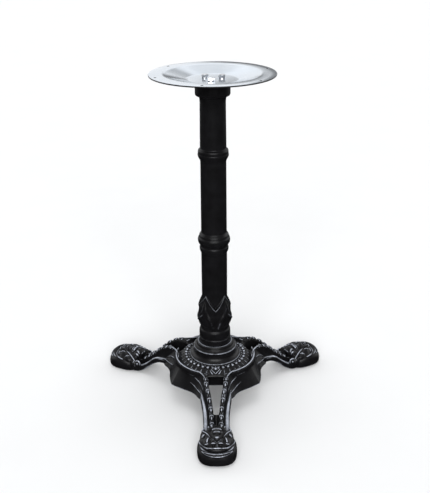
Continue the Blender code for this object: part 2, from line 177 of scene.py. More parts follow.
ROUND_START = ((0.35, -0.85), (0.8, -0.45), (1, 0))
ROUND_END = ((1, 0), (0.8, 0.45), (0.35, 0.85))


def on_side(points, side):
    """Points (s, w, z), or the same on the other side of the leg's middle for a side of -1."""
    return [(s, side * w, z) for s, w, z in points]


def tube(points, radii, steps=5, sides=10, flat=1.0):
    """A round-ended tube along a smooth curve. Its radius follows radii, and flat squeezes it in height."""
    line = smooth_line(points, steps)
    last = len(line) - 1
    sizes = np.interp(np.linspace(0, 1, last + 1), np.linspace(0, 1, len(radii)), radii)
    sections = []
    for k, centre in enumerate(line):
        along = (line[min(k + 1, last)] - line[max(k - 1, 0)]).normalized()
        across = along.cross(Vector((0, 0, 1)))
        across = across.normalized() if across.length > 0.02 else Vector((0, 1, 0))
        rise = across.cross(along).normalized() * flat
        size = float(sizes[k])
        ends = ROUND_START if k == 0 else ROUND_END if k == last else ((1, 0),)
        for share, push in ends:
            middle, reach = centre + along * (push * size), size * share
            sections.append([middle + (across * c + rise * w) * reach for c, w in circle(sides)])
    return loft(sections)


def blob(centre, radii, segments=16):
    """An ellipsoid."""
    rings = segments // 2
    sections = []
    for i in range(rings):
        lat = math.pi * (i + 0.5) / rings
        a, b, height = math.sin(lat) * radii[0], math.sin(lat) * radii[1], math.cos(lat) * radii[2]
        sections.append([Vector((c * a, w * b, height)) for c, w in circle(segments)])
    points, faces = loft(sections)
    return [Vector(centre) + p for p in points], faces


def curve(x, pairs):
    """A smooth reading at x of (position, value) pairs, which never overshoots them."""
    xs, ys = zip(*pairs)
    if x <= xs[0]:
        return ys[0]
    if x >= xs[-1]:
        return ys[-1]
    k = max(i for i in range(len(xs) - 1) if xs[i] <= x)
    slopes = [(y1 - y0) / (x1 - x0) for x0, x1, y0, y1 in zip(xs, xs[1:], ys, ys[1:])]

    def tangent(i):
        if i in (0, len(xs) - 1):
            return slopes[min(i, len(slopes) - 1)]
        a, b = slopes[i - 1], slopes[i]
        return 0 if a * b <= 0 else 2 * a * b / (a + b)

    gap = xs[k + 1] - xs[k]
    t = (x - xs[k]) / gap
    rise = (3 - 2 * t) * t * t
    lead = t * (1 - t) ** 2 * gap * tangent(k)
    trail = t * t * (t - 1) * gap * tangent(k + 1)
    return ys[k] + (ys[k + 1] - ys[k]) * rise + lead + trail


def smooth_step(low, high, x):
    """0 below low, 1 above high, and an even rise between them."""
    t = min(1.0, max(0.0, (x - low) / (high - low)))
    return t * t * (3 - 2 * t)


def hump(offset, width):
    """A smooth bump of height 1 about 0."""
    return math.exp(-((offset / width) ** 2))


def apply_modifiers(obj):
    """Replace the object's mesh with what its modifiers make of it."""
    bpy.context.view_layer.update()
    evaluated = obj.evaluated_get(bpy.context.evaluated_depsgraph_get())
    mesh = bpy.data.meshes.new_from_object(evaluated)
    obj.modifiers.clear()
    obj.data = mesh


def fuse(obj, cell):
    """Join an object's skins into one skin with even cells, and ease its steps."""
    modifier = obj.modifiers.new("fuse", "REMESH")
    modifier.mode = "VOXEL"
    modifier.voxel_size = cell * MM
    modifier.adaptivity = 0
    relax = obj.modifiers.new("relax", "SMOOTH")
    relax.iterations = 2
    relax.factor = 0.5
    apply_modifiers(obj)


def combine(obj, other, operation):
    """Join or cut closed meshes, and drop the second."""
    modifier = obj.modifiers.new("combine", "BOOLEAN")
    modifier.operation = operation
    modifier.solver = "MANIFOLD"
    modifier.object = other
    apply_modifiers(obj)
    bpy.data.objects.remove(other)


def neighbour_mean(values, a, b, degree):
    """Each point's mean over the points it shares an edge with."""
    total = np.zeros_like(values)
    for axis in range(3):
        total[:, axis] += np.bincount(a, values[b, axis], len(values))
        total[:, axis] += np.bincount(b, values[a, axis], len(values))
    return total / degree[:, None]


def read(items, name, width, kind=float):
    """A property of every item, a row for each."""
    values = np.zeros(len(items) * width, kind)
    items.foreach_get(name, values)
    return values.reshape(-1, width)


def mark_proud(obj, rounds, extra=None):
    """Store how far each point stands out of the surface round it, in millimetres, for the worn silver
    paint.

    extra gives a further amount for points at (places, normals), both as rows of x, y and z. The flange
    bands use it for silver that is partly wear and partly a painted highlight.
    """
    mesh = obj.data
    count = len(mesh.vertices)
    places = read(mesh.vertices, "co", 3)
    normals = read(mesh.vertex_normals, "vector", 3)
    a, b = read(mesh.edges, "vertices", 2, int).T
    degree = np.maximum(np.bincount(a, minlength=count) + np.bincount(b, minlength=count), 1)
    mean = places.copy()
    for _ in range(rounds):
        mean = neighbour_mean(mean, a, b, degree)
    proud = ((places - mean) * normals).sum(1) / MM
    if extra:
        proud = proud + extra(places / MM, normals)
    attribute = mesh.attributes.new("proud", "FLOAT", "POINT")
    attribute.data.foreach_set("value", proud.astype(np.float32))


def smooth_shaded(obj, sharp_degrees=None):
    """Shade smooth, with edges past an angle kept sharp if one is given."""
    obj.data.shade_smooth()
    if sharp_degrees:
        obj.data.set_sharp_from_angle(angle=math.radians(sharp_degrees))
    return obj


# ---- the base's hub and skirt


SKIRT_LOW = 48.5
SKIRT_WALL = 6
CREST_Z = 94.5
CREST_R = ((0, 87), (30, 87), (37, 87.6), (43, 93), (49, 107), (60, 116))
EDGE_R = ((0, 113), (4, 110.5), (17, 105), (26, 103.2), (31, 104.6), (36, 109), (44, 121), (60, 123))

HUB_OUTLINE = (
    (34.9, 96), (34.9, 129.6), (35.5, 130.6), (37.2, 130.8), (39.2, 129.6), (40.4, 127.4), (40.8, 124.6),
    (41.8, 122.6), (44, 120.8), (45.4, 120), (46.4, 119.6), (47.2, 118.8), (47.3, 117.6), (46.6, 116.6),
    (46.2, 115), (46.4, 110), (47.2, 105.6), (49, 102.2), (51.4, 99.4), (53.4, 98.2), (54.8, 98.1),
    (55.7, 97.4), (55.8, 96.4), (55.2, 95.2), (55.8, 94.2), (57.4, 93.6), (61, 93.4), (67, 93.2),
    (70, 91.6), (75, 88.8), (79.4, 85.6), (81.2, 84.4), (83, 85.4), (84.6, 88.6), (85.6, 92.2),
    (87.2, 93.8), (89.6, 92), (91, 84), (84, 78), (72, 80), (60, 88), (9, 88), (9, 96),
)
BEADS = 36
BEAD_R = 64.8
STUDS = 48
STUD_CIRCLE_R = 58.9
TONGUE_GAP = 9
SKIRT_RINGS = 240
SKIRT_ROWS = 9


def skirt(shape):
    """The skirt, from the ridge to a lower edge that comes to a point in the middle of each sector."""
    sections = []
    for k in range(SKIRT_RINGS):
        angle = 360 * k / SKIRT_RINGS
        from_middle = abs((angle - LEG_ANGLES[0]) % 120 - SECTOR)
        crest, edge = curve(from_middle, CREST_R), curve(from_middle, EDGE_R)
        outer, inner = [], []
        for j in range(SKIRT_ROWS):
            t = j / (SKIRT_ROWS - 1)
            z = CREST_Z - 1.5 - t * (CREST_Z - SKIRT_LOW - 3)
            r = crest + (edge - crest) * (0.72 * t + 0.28 * t * t)
            outer.append((r, z))
            inner.append((r - SKIRT_WALL, z - 1.5 * (1 - t)))
        foot = [(edge - 1, SKIRT_LOW), (edge - SKIRT_WALL + 1, SKIRT_LOW)]
        outline = [(crest - 3, CREST_Z - 1)] + outer + foot + inner[:0:-1]
        turn = around(angle)
        sections.append([turn @ Vector((r, 0, z)) for r, z in outline])
    shape.add(hoop(sections))


def ridge(shape):
    """The rounded ridge along the top of the skirt, between the legs."""
    for angle in LEG_ANGLES:
        line = [around(angle + SECTOR + 6 * k) @ Vector((87, 0, CREST_Z)) for k in range(-6, 7)]
        shape.add(tube(line, (1.5, 1.5), 3))


def hub(shape):
    """The socket and its rings, with the bead ring, the tongues outside it and a heart at each leg."""
    shape.add(turned(HUB_OUTLINE, 180))
    for k in range(BEADS):
        angle = 360 * (k + 0.5) / BEADS
        place = around(angle)
        shape.add(blob((BEAD_R, 0, 94.4), (3.0, 3.0, 3.2), 14), place)
        if min(abs((angle - leg_angle + 180) % 360 - 180) for leg_angle in LEG_ANGLES) > TONGUE_GAP:
            tongue(shape, place)
    for k in range(STUDS):
        shape.add(blob((STUD_CIRCLE_R, 0, 93.7), (1.7, 1.8, 1.6), 10), around(360 * k / STUDS))
    for angle in LEG_ANGLES:
        heart(shape, around(angle))


def tongue(shape, place):
    """A tongue outside a bead, inside its raised arch."""
    shape.add(tube([(69.5, 0, 91.4), (74, 0, 89), (77.6, 0, 86.8)], (1.9, 2.5, 1.5), 4, 8, 0.7), place)
    half = [(68, 5.1, 92.2), (73.6, 4.9, 89.2), (78.4, 3.3, 86.4)]
    arch = half + [(79.8, 0, 85.6)] + on_side(reversed(half), -1)
    shape.add(tube(arch, (0.7, 0.85, 0.8, 0.85, 0.7), 3, 8), place)


def heart(shape, place):
    """The heart that faces each leg, round a larger bead."""
    shape.add(blob((66.6, 0, 94.4), (3.6, 3.6, 3.2)), place)
    for side in (-1, 1):
        lobe = [(62.4, 3.4, 94.6), (63.4, 7.9, 94.4), (68, 8.7, 93.2), (73, 4.8, 90.9), (76.8, 0, 88.2)]
        leaf = [(70, 11.6, 91.6), (74, 9.6, 89.6), (77.6, 6.4, 87.4)]
        shape.add(tube(on_side(lobe, side), (0.8, 1.05, 1.15, 1.05, 0.8), 5, 8), place)
        shape.add(tube(on_side(leaf, side), (1.2, 1.5, 0.8), 5, 8), place)


# ---- the legs


FLANGE_W = (
    (84, 33), (104, 35), (116, 34), (127, 32.8), (138, 31), (150, 28.9), (160, 27.9), (173, 27.4),
    (186, 27.6), (206, 30),
)
ARCH_Z = (
    (84, 52), (104, 50.5), (116, 50), (126, 49), (138, 44), (150, 36), (160, 28), (173, 16), (185, 7.5),
    (196, 3), (206, 2.6),
)
RIB_Z = (
    (84, 92), (100, 94.5), (107, 94.5), (113, 92.5), (125, 85.5), (136, 78.5), (147, 67), (159, 56),
    (171, 46), (183, 37), (194, 30), (206, 26),
)
RIB_W = (
    (84, 26.5), (100, 22.5), (106, 21.6), (117, 20.4), (131, 17), (146, 13.9), (160, 11.2), (173, 10.1),
    (186, 9.3), (206, 9),
)
RIB_HALF = 3.4
SLOT_W = (
    (80, 18.5), (90, 16.2), (104, 15.2), (117, 14.6), (131, 11.5), (146, 8.2), (160, 6), (173, 4.4),
    (190, 3.2), (206, 3),
)
SHOULDER_Z = (
    (84, 70), (100, 66), (112, 62.5), (123, 60), (138, 56.5), (151, 49), (160, 41), (173, 30), (186, 21),
    (206, 15),
)
BAND_W = (
    (84, 30), (112, 28.8), (126, 26.6), (140, 23.8), (150, 21.7), (163, 19.4), (175, 18.9), (190, 19.2),
    (206, 21),
)
HUSK_S = (104.5, 118, 132, 145.8, 159.5, 173, 185.5)
HUSK_RISE = 2.8
# share of silver on the flange tops, which is partly worn paint and partly a painted highlight
FLANGE_WEAR_AND_HIGHLIGHT = 0.19

SLOT_S = (80.2, 95, 117, 131, 146, 161)
GROOVE_S = (152, 161.3, 174, 191)
CHANNEL_S = tuple(range(92, 188, 6))
RAIL_WALL = 5
CHORD_S = 79.6
CHORD_HALF = 22


def across_at(s, outline, side=1):
    """An outline of (w, z) pairs across a leg, stood at a station along it."""
    return [Vector((s, side * w, z)) for w, z in outline]


def rail_section(s, side):
    """One rail across its length: a rib beside the slot, a groove, and a smooth band on the flange."""
    slot, rib, flange, band = curve(s, SLOT_W), curve(s, RIB_W), curve(s, FLANGE_W), curve(s, BAND_W)
    low, top, mid = curve(s, ARCH_Z), curve(s, RIB_Z) - HUSK_RISE, curve(s, SHOULDER_Z)
    rib_foot = min(rib + RIB_HALF + 1.4, band - 2.4)
    outline = [
        (slot + 1.2, low), (slot, low + 1.5), (slot, top - 5), (min(rib - RIB_HALF, slot + 2), top - 1.6),
        (rib - 2.2, top), (rib + 2.2, top), (rib + RIB_HALF, top - 1.6), (rib_foot, mid + 2.4),
        (rib_foot + 0.9, mid - 1), (band - 0.9, mid - 1.2), (band + 0.5, mid + 0.8),
        ((band + flange) / 2, mid + 1.3), (flange - 2.2, mid + 0.3), (flange - 0.8, mid - 1.3),
        (flange - 0.3, mid - 4), (flange - 0.9, low + 10.5), (flange, low + 9), (flange + 0.1, low + 3),
        (flange - 0.7, low + 0.7), (flange - 2.4, low),
    ]
    return across_at(s, outline, side)


def husk(shape, s, side, place):
    """One husk on a rib: a bowed bar at its hub end, and a raised stem that runs out from it."""
    behind, centre, ahead = (
        Vector((x, side * curve(x, RIB_W), curve(x, RIB_Z) - HUSK_RISE)) for x in (s - 3, s, s + 3)
    )
    along = (ahead - behind).normalized()
    across = along.cross(Vector((0, 0, 1))).normalized()
    rise = across.cross(along)

    def at(points):
        return [centre + along * u + across * v + rise * h for u, v, h in points]

    bar = at([(-2.6, -4.2, -0.8), (-4.6, -2.9, 1), (-5.4, 0, 1.7), (-4.6, 2.9, 1), (-2.6, 4.2, -0.8)])
    shape.add(tube(bar, (0.8, 1.2, 1.3, 1.2, 0.8), 4, 8), place)
    stem = at([(-4.2, 0, 0.9), (-1.4, 0, 1.5), (1.6, 0, 1.4), (4.2, 0, 0.2)])
    shape.add(tube(stem, (1.2, 1.6, 1.7, 1.0), 4, 8), place)
    for v in (-1, 1):
        edge = at([(-3.4, v * 2.9, 0), (-0.6, v * 3.2, 0), (2.6, v * 2.2, -1)])
        shape.add(tube(edge, (0.7, 0.9, 0.5), 4, 8), place)


def side_lines(side):
    """The raised lines beside a leg: the ridge that leaves the hub, and two accents on the skirt."""
    ridge_line = [(64.4, 52.2, 93.2), (71.4, 43.4, 94), (80, 34.4, 94.5)]
    ridge_line += [(89.5, 27.8, 94.1), (100, 23.9, 94), (108, 22.7, 92.4)]
    upper = [(78.8, 45.6, 82), (84.6, 40, 79), (94.6, 32.8, 75.8), (106, 28, 69.6), (114, 26.4, 62.6)]
    lower = [(78.6, 54.8, 68.2), (86, 47.1, 65.3), (97.6, 39, 61.6), (112.5, 32.4, 62.2), (124, 28.6, 60.6)]
    sizes = ((1.5, 1.5, 1.5, 1.4, 1.2, 0.8), (0.4, 0.95, 1.1, 0.95, 0.4), (0.4, 1.0, 1.1, 1.0, 0.7))
    for line, size in zip((ridge_line, upper, lower), sizes):
        yield on_side(line, side), size


def leg(shape, place):
    """A leg: two rails with their husks, the web between them, and the wall that closes the hub."""
    for side in (-1, 1):
        shape.add(loft([rail_section(s, side) for s in range(84, 207, 2)]), place)
        for s in HUSK_S:
            husk(shape, s, side, place)
        for line, radii in side_lines(side):
            shape.add(tube(line, radii), place)
    web = []
    for s in range(161, 206, 4):
        wide, low, top = curve(s, SLOT_W) + 2, curve(s, ARCH_Z) + 0.5, curve(s, RIB_Z) - 12
        web.append(across_at(s, ((wide, low), (wide, top), (-wide, top), (-wide, low))))
    shape.add(loft(web), place)
    corners = ((CHORD_HALF, 60), (CHORD_HALF, 84.6), (-CHORD_HALF, 84.6), (-CHORD_HALF, 60))
    shape.add(loft([across_at(s, corners) for s in (CHORD_S - 6, CHORD_S)]), place)
    chord = [(CHORD_S - 0.4, w, 84.8) for w in (-20.5, 0, 20.5)]
    shape.add(tube(chord, (1.0, 1.0), 4, 8), place)


def slot_cut(stations, narrower, depth):
    """The slot between the ribs: right through the leg, or to a depth below the ribs."""
    sections = []
    for s in stations:
        wide = curve(s, SLOT_W) - narrower
        top = curve(s, RIB_Z) + 20
        low = -5 if depth is None else curve(s, RIB_Z) - depth
        outline = [(wide - 0.6, low), (wide + 0.6, top), (-wide - 0.6, top), (-wide + 0.6, low)]
        sections.append(across_at(s, outline))
    return loft(sections)


def channel_cut(side):
    """The hollow beneath one rail."""
    sections = []
    for s in CHANNEL_S:
        inner, outer = curve(s, SLOT_W) + RAIL_WALL, curve(s, FLANGE_W) - RAIL_WALL
        shoulder = min(curve(s, ARCH_Z) + 11, curve(s, RIB_Z) - 8) - RAIL_WALL
        outline = ((outer, -5), (outer, shoulder), (inner, shoulder + 6), (inner, -5))
        sections.append(across_at(s, outline, side))
    return loft(sections)


# ---- the paws


PAW_RINGS = (
    (199.5, 278.6, 36.4, 2.1, 0), (197.8, 280.2, 38.0, 3.4, 0), (196.6, 281.3, 39.4, 8, 0),
    (196, 281.8, 40.0, 14, 0), (196, 281.6, 40.0, 19, 0), (197, 280.5, 39.4, 23, 0),
    (198.2, 279.2, 38.6, 25.2, 0), (199, 277.6, 37.8, 26.8, 0), (200, 276.4, 36.6, 28.8, 0),
    (201.4, 275.8, 35.2, 30.6, 0), (202.8, 274.2, 33.8, 31.2, 0.4), (203.6, 271.4, 32.4, 31.8, 2.4),
    (204.3, 268.4, 31.2, 32.4, 4.8), (205, 265.2, 30, 33, 5.4), (205.5, 263.4, 29, 33.6, 3.6),
    (206, 262.4, 28, 34.2, 1.2), (206.6, 260.6, 26.6, 35, 0.4), (207.6, 255.6, 23.4, 36.4, 0),
    (209, 249.6, 19, 38, 0), (212, 243.6, 12.4, 39.2, 0),
)
LOWER_LIP = (198, 279.4, 38.6, 25.4, 0)
UPPER_LIP = (200.4, 276.6, 36.4, 29.6, 0)
LIP_END = (198, 279, 38.6, 28.6, 0)
LIP_SPREAD = 50
PAW_SQUARENESS = ((12, 2.7), (25, 2.1))
PAW_TAPER = 0.05
PAW_STEPS = 56


def paw_point(ring, angle):
    """A point on a boxy oval, a little wider towards the toes, whose front can dip."""
    low_s, high_s, half, z, dip = ring
    c, w = math.cos(angle), math.sin(angle)
    power = 2 / curve(z, PAW_SQUARENESS)
    ahead = math.copysign(abs(c) ** power, c)
    aside = math.copysign(abs(w) ** power, w) * (1 + PAW_TAPER * ahead)
    centre, reach = (low_s + high_s) / 2, (high_s - low_s) / 2
    return Vector((centre + ahead * reach, aside * half, z - dip * smooth_step(0.1, 0.55, c)))


def paw_loft(rings):
    """A skin through the rings of a paw."""
    return loft([[paw_point(ring, TAU * k / PAW_STEPS) for k in range(PAW_STEPS)] for ring in rings])


def paw_lip(middle, ends, radius):
    """A raised line across the front of a paw, from one ring in the middle to another at its ends."""
    line = []
    for k in range(-6, 7):
        share = (k / 6) ** 2
        ring = [a + (b - a) * share for a, b in zip(middle, ends)]
        line.append(paw_point(ring, math.radians(LIP_SPREAD) * k / 6))
    return tube(line, (0.5 * radius, radius, radius, radius, 0.5 * radius), 3, 8)


PAW_BODY = (
    ((207, 0, 34), (11.5, 20.5, 12.5), 24), ((235.4, 0, 38), (8.4, 7.6, 8.4), 20),
    # The first lump on the next line is a small flat button on the knob's crown; the silver paint it gathers
    # is partly wear and partly a painted highlight.
    ((240.4, 0, 43.5), (2.6, 4.2, 2.2), 12), ((226, 0, 34), (16, 15, 7.5), 20),
    ((219.5, 0, 40), (8.5, 11.5, 4.8), 20),
)
PAW_TOES = (
    ((246, 7.6, 35), (12.5, 6.6, 7.6)), ((237, 19.6, 31.6), (13, 7.4, 8.2)),
    ((223, 27, 27.4), (12.5, 7.4, 8.2)),
)
PAW_SIDE_LINES = (
    (((252.6, 2.8, 38), (255.4, 4.4, 40.2), (256, 7.4, 41.2), (255.4, 10.4, 40), (252.6, 12, 37.6)),
     (0.5, 1.1, 1.4, 1.1, 0.5)),
    (((252.6, 0.6, 38.2), (250, 4.4, 41), (246.6, 8.4, 42.4)), (0.8, 0.9, 0.5)),
    (((238, 17.4, 40.6), (243, 19, 40), (247.4, 20.2, 37.6)), (1.0, 1.6, 1.2)),
    (((248, 15.8, 35.4), (251.4, 18.6, 36.4), (251.4, 22.6, 35), (248.6, 25.2, 32.4)), (0.5, 1.0, 1.1, 0.5)),
    (((220.4, 24.8, 36), (224.4, 27, 36.2), (228, 29.2, 34.4)), (1.4, 2.4, 1.6)),
    (((236, 13.4, 40.6), (228, 17, 40), (218, 21.4, 37.4), (209, 25.6, 33.6), (203, 28.6, 30.8)),
     (0.5, 1.0, 1.4, 1.5, 1.4)),
    (((203, 28.6, 30.8), (204.6, 31.4, 26.8), (207, 33.6, 22)), (1.3, 1.3, 0.6)),
    (((196.6, 2, 40), (197.6, 6.4, 38.8), (199.4, 10.6, 35.6)), (0.8, 1.5, 0.9)),
    (((209, 9, 44.6), (204, 10.5, 45.2), (199.8, 12, 40.6)), (1.3, 2.3, 1.1)),
    (((208, 14.6, 41.4), (203, 16.4, 40.8), (200.2, 16.4, 37.2)), (1.3, 2.3, 1.3)),
)
PAW_BARS = (
    (((217.4, -8, 45.1), (217.2, -4.6, 46.2), (217.2, 0, 46.4)), (2.0, 2.4, 2.4)),
    (((223.6, -6, 43.8), (223.4, -3.2, 44.5), (223.4, 0, 44.7)), (1.0, 1.6, 1.6)),
    (((232, -36.4, 30.4), (241, -35, 30.8), (249, -31.2, 30.2), (256, -24.4, 30.4), (261, -14, 32.4),
      (262.6, 0, 33.6)), (0.6, 1.8, 2.1, 1.9, 1.2, 1.2)),
)


def paw(shape, place):
    """A paw along +X: a plinth with two lips in front, toes over claw hollows, a knob and a cuff of fur."""
    shape.add(paw_loft(PAW_RINGS), place)
    shape.add(paw_lip(LOWER_LIP, LIP_END, 1.5), place)
    shape.add(paw_lip(UPPER_LIP, LIP_END, 1.7), place)
    for lump in PAW_BODY:
        shape.add(blob(*lump), place)
    shape.add(tube([(252.4, 0, 38), (256, 0, 36.8), (260, 0, 35.2)], (0.8, 1.0, 0.6)), place)
    for points, radii in PAW_BARS:
        line = list(points) + on_side(points[-2::-1], -1)
        shape.add(tube(line, radii + radii[-2::-1], 5, 12), place)
    for side in (-1, 1):
        for (s, w, z), radii in PAW_TOES:
            shape.add(blob((s, side * w, z), radii, 22), place)
        for points, radii in PAW_SIDE_LINES:
            shape.add(tube(on_side(points, side), radii, 5, 12), place)
        shape.add(blob((206, side * 23.6, 20), (11, 10.5, 12), 24), place)
        shape.add(blob((216, side * 17, 28), (12, 9, 9), 20), place)
        scroll(shape, side, place)


def scroll(shape, side, place):
    """The scroll at a heel corner: a ball inside one turn of a spiral."""
    heart = Vector((195, side * 27.6, 24.6))
    shape.add(blob(heart, (3.6, 3.9, 3.9), 14), place)
    shape.add(blob(heart - Vector((0, side * 0.6, 0)), (6.2, 2.6, 7.2), 20), place)
    spiral = []
    for k in range(11):
        a = math.radians(-60 + 34 * k)
        r = 7.4 - 0.12 * k
        spiral.append(heart + Vector((r * math.cos(a) * 0.85, side * 1.2 * math.cos(a), r * math.sin(a))))
    shape.add(tube(spiral, (0.9, 1.5, 1.5, 1.5, 1.1), 3), place)


def claw_hollows():
    """The hollows under the toes, where the claws would sit."""
    for side in (-1, 1):
        yield blob((258.6, side * 7.4, 36.4), (3.6, 3.7, 3), 14)
        yield blob((253.8, side * 20, 32.4), (3.6, 3.9, 2.6), 14)


# ---- the base casting


def base_cutters():
    """What is cut from the casting: claw hollows, bolt holes, and the hollows beneath."""
    shape = Shape()
    rings = (
        (205, 274, 31.6, -3, 0), (204, 274.5, 33, 8, 0), (204, 274, 33.5, 18, 0),
        (208, 267, 28, 22, 0), (213, 256, 20, 26, 0), (217, 248, 13, 29, 0),
    )
    for angle in LEG_ANGLES:
        place = around(angle)
        shape.add(paw_loft(rings), place)
        for side in (-1, 1):
            shape.add(channel_cut(side), place)
        for hollow in claw_hollows():
            shape.add(hollow, place)
    for angle in BOLT_ANGLES:
        shape.add(pin(BASE_BOLT_HOLE_R, 110, 70), at_angle(angle, BASE_BOLT_CIRCLE_R))
    return shape.object("base_hollows")


def slot_cutters():
    """The open slots, and the grooves that carry them on towards the paws."""
    through, grooves = Shape(), Shape()
    for angle in LEG_ANGLES:
        through.add(slot_cut(SLOT_S, 0, None), around(angle))
        grooves.add(slot_cut(GROOVE_S, 0.35, 13), around(angle))
    return through.object("slots"), grooves.object("grooves")


def bosses():
    """The tapped boss in each paw."""
    shape = Shape()
    outline = [(4.3, 42), (9, 42), (9.5, 40), (9.5, 18.4), (8.9, 17.6), (4.9, 17.6), (4.3, 18.2)]
    for angle in LEG_ANGLES:
        shape.add(turned(outline, 32), at_angle(angle, LEVELLER_S))
    return shape.object("bosses")


def flange_wear_and_highlight(places, normals):
    """The silver band along the upward-facing top of each flange, from the hub's skirt to the paw: partly
    worn paint and partly a painted highlight of the light from above.
    """
    total = np.zeros(len(places))
    stations = np.arange(84, 207)
    band, flange, shoulder = (
        np.array([curve(s, table) for s in stations]) for table in (BAND_W, FLANGE_W, SHOULDER_Z)
    )
    for angle in LEG_ANGLES:
        c, d = math.cos(math.radians(angle)), math.sin(math.radians(angle))
        s = places[:, 0] * c + places[:, 1] * d
        w = np.abs(places[:, 1] * c - places[:, 0] * d)
        inner, outer = np.interp(s, stations, band), np.interp(s, stations, flange)
        near = np.abs(places[:, 2] - np.interp(s, stations, shoulder) - 1) < 3.5
        across = np.clip((w - inner) / 1.2, 0, 1) * np.clip((outer - 1 - w) / 1.2, 0, 1)
        along = np.clip((s - 112) / 14, 0, 1) * np.clip((196 - s) / 6, 0, 1)
        total += FLANGE_WEAR_AND_HIGHLIGHT * across * along * near * (normals[:, 2] > 0.3)
    return total


def base_casting():
    """The whole casting as one skin."""
    shape = Shape()
    hub(shape)
    skirt(shape)
    ridge(shape)
    for angle in LEG_ANGLES:
        leg(shape, around(angle))
        paw(shape, around(angle))
    obj = shape.object("base_casting_detail")
    fuse(obj, BASE_CELL)
    # the flange bands add silver on the flange tops that is partly wear and partly a painted highlight
    mark_proud(obj, 3, flange_wear_and_highlight)
    for cutter in (*slot_cutters(), base_cutters()):
        combine(obj, cutter, "DIFFERENCE")
    combine(obj, bosses(), "UNION")
    return smooth_shaded(obj)


# ---- the column


COLUMN_OUTLINE = (
    (35.1, 705.4), (35.1, 681), (34.7, 679), (33.6, 677.4), (31, 676.2), (28.6, 675.4), (27.2, 673.5),
    (26.3, 670), (25.9, 664), (26.8, 572), (26.9, 569.6), (28.6, 569.2), (30.2, 567.6), (31.1, 564.8),
    (31.1, 561.4), (30.9, 560.4), (31.6, 558.6), (31.6, 555.6), (30.8, 552.8), (29, 549.6),
    (27.4, 546.6), (26.5, 544), (26.4, 541), (27, 389.6), (28.4, 387.6), (30.8, 384), (31.6, 380.6),
    (31.7, 379), (32.8, 378.2), (33.6, 376.4), (34.1, 373.6), (34, 369.8), (33.2, 366.6), (31.2, 363.6),
    (29.4, 361.4), (29.3, 358.6), (30.4, 356.6), (30.8, 353.4), (30.4, 349.6), (29, 346), (27.7, 343.4),
    (27.45, 340), (27.4, 250), (27.5, 166), (30.4, 166), (31.2, 164.2), (33, 161.6), (33.9, 158.6),
    (34.2, 154), (34.3, 149), (34, 146.6), (33.2, 145.2), (33.2, 143.8), (34.5, 142.4), (34.5, 97),
)
COLUMN_BORE = (
    (9, 97), (9, 110), (27, 110), (27, 150), (21, 175), (21, 667), (28, 684), (28, 691), (9, 691),
    (9, 705.4),
)
SHAFT_R = 27.5
COLLAR_TURN = 3.2
COLLAR_TOP_Z = 262
COLLAR_FOOT_Z = 160
COLLAR_R = (
    (162, 30.2), (170, 30.6), (178, 33.2), (188, 35.2), (198, 35.3), (208, 34.4), (218, 33.9),
    (227, 31.4), (237, 28.8), (250, 27.7),
)
LEAF_TIP_Z = 248
LEAF_NOTCH_Z = 219


def leaf_rim_z(from_tip):
    """Height of the leaves' rim, which falls in a V from each tip to the notch between two leaves."""
    return LEAF_TIP_Z - (LEAF_TIP_Z - LEAF_NOTCH_Z) * (from_tip / 45) ** 0.9


def collar_radius(z, degrees):
    """Radius of the collar of four leaves, at an angle counted from a notch."""
    from_tip = abs(degrees % 90 - 45)
    under = leaf_rim_z(from_tip) - z
    if under < -1:
        return 0.0
    body = curve(z, COLLAR_R)
    rim = 1.3 * hump(under - 2.2, 1.7) * (0.55 + 0.45 * from_tip / 45)
    vein_at = 36 * smooth_step(232, 172, z)
    vein = 1.7 * hump(from_tip - vein_at, 4.6) * smooth_step(240, 228, z) * smooth_step(164, 176, z)
    hollow = -1.6 * hump(from_tip - 45, 7) * smooth_step(216, 200, z) * smooth_step(164, 176, z)
    edge = smooth_step(-1, 1.2, under)
    return SHAFT_R + (body - SHAFT_R) * edge + (0.7 + rim) * edge + vein + hollow


CURL = ((47, 34.6, 207), (56, 35.8, 200), (67, 36.6, 194), (78, 36.9, 188.5), (86, 36.4, 184))
BUSY_LEVELS = ((660, 720), (535, 580), (335, 395), (0, COLLAR_TOP_Z))
COLUMN_STEPS = 360


def curls(shape):
    """The rolled lower edges of the leaves on the left and on the right of the column."""
    for heading in (0, 180):
        for side in (-1, 1):
            line = []
            for degrees, r, z in CURL:
                turn = around(COLLAR_TURN + heading + side * (90 - degrees))
                line.append(turn @ Vector((r, 0, z)))
            shape.add(tube(line, (0.8, 1.8, 2.2, 2.3, 1.6), 5, 12), None)


def column_heights():
    """Levels for the column's rings, close together where it is modelled and wide apart along the shaft."""
    levels = [COLUMN_OUTLINE[0][1]]
    while levels[-1] > COLUMN_OUTLINE[-1][1] + 1:
        z = levels[-1]
        busy = any(low < z < high for low, high in BUSY_LEVELS)
        levels.append(z - (1.0 if busy else 6.0))
    return levels


def column():
    """The column: a turned shaft with rings, a collar of leaves and a socketed foot, hollow inside."""
    radii, heights = zip(*reversed(COLUMN_OUTLINE))
    sections = []
    for k in range(COLUMN_STEPS):
        angle = 360 * k / COLUMN_STEPS
        outline = []
        for z in column_heights():
            r = float(np.interp(z, heights, radii))
            if COLLAR_FOOT_Z < z < COLLAR_TOP_Z:
                r = max(r, collar_radius(z, angle - COLLAR_TURN))
            outline.append((r, z))
        turn = around(angle)
        sections.append([turn @ Vector((r, 0, z)) for r, z in outline + list(COLUMN_BORE)])
    shape = Shape()
    shape.add(hoop(sections))
    curls(shape)
    obj = shape.object("column_casting_detail")
    fuse(obj, COLUMN_CELL)
    mark_proud(obj, 3)
    holes = Shape()
    for angle in BOLT_ANGLES:
        holes.add(pin(TOP_BOLT_HOLE_R, 715, 680), at_angle(angle, TOP_BOLT_CIRCLE_R))
        holes.add(pin(BASE_BOLT_HOLE_R, 120, 90), at_angle(angle, BASE_BOLT_CIRCLE_R))
    combine(obj, holes.object("column_holes"), "DIFFERENCE")
    return smooth_shaded(obj)


# ---- plate, bolts and levellers


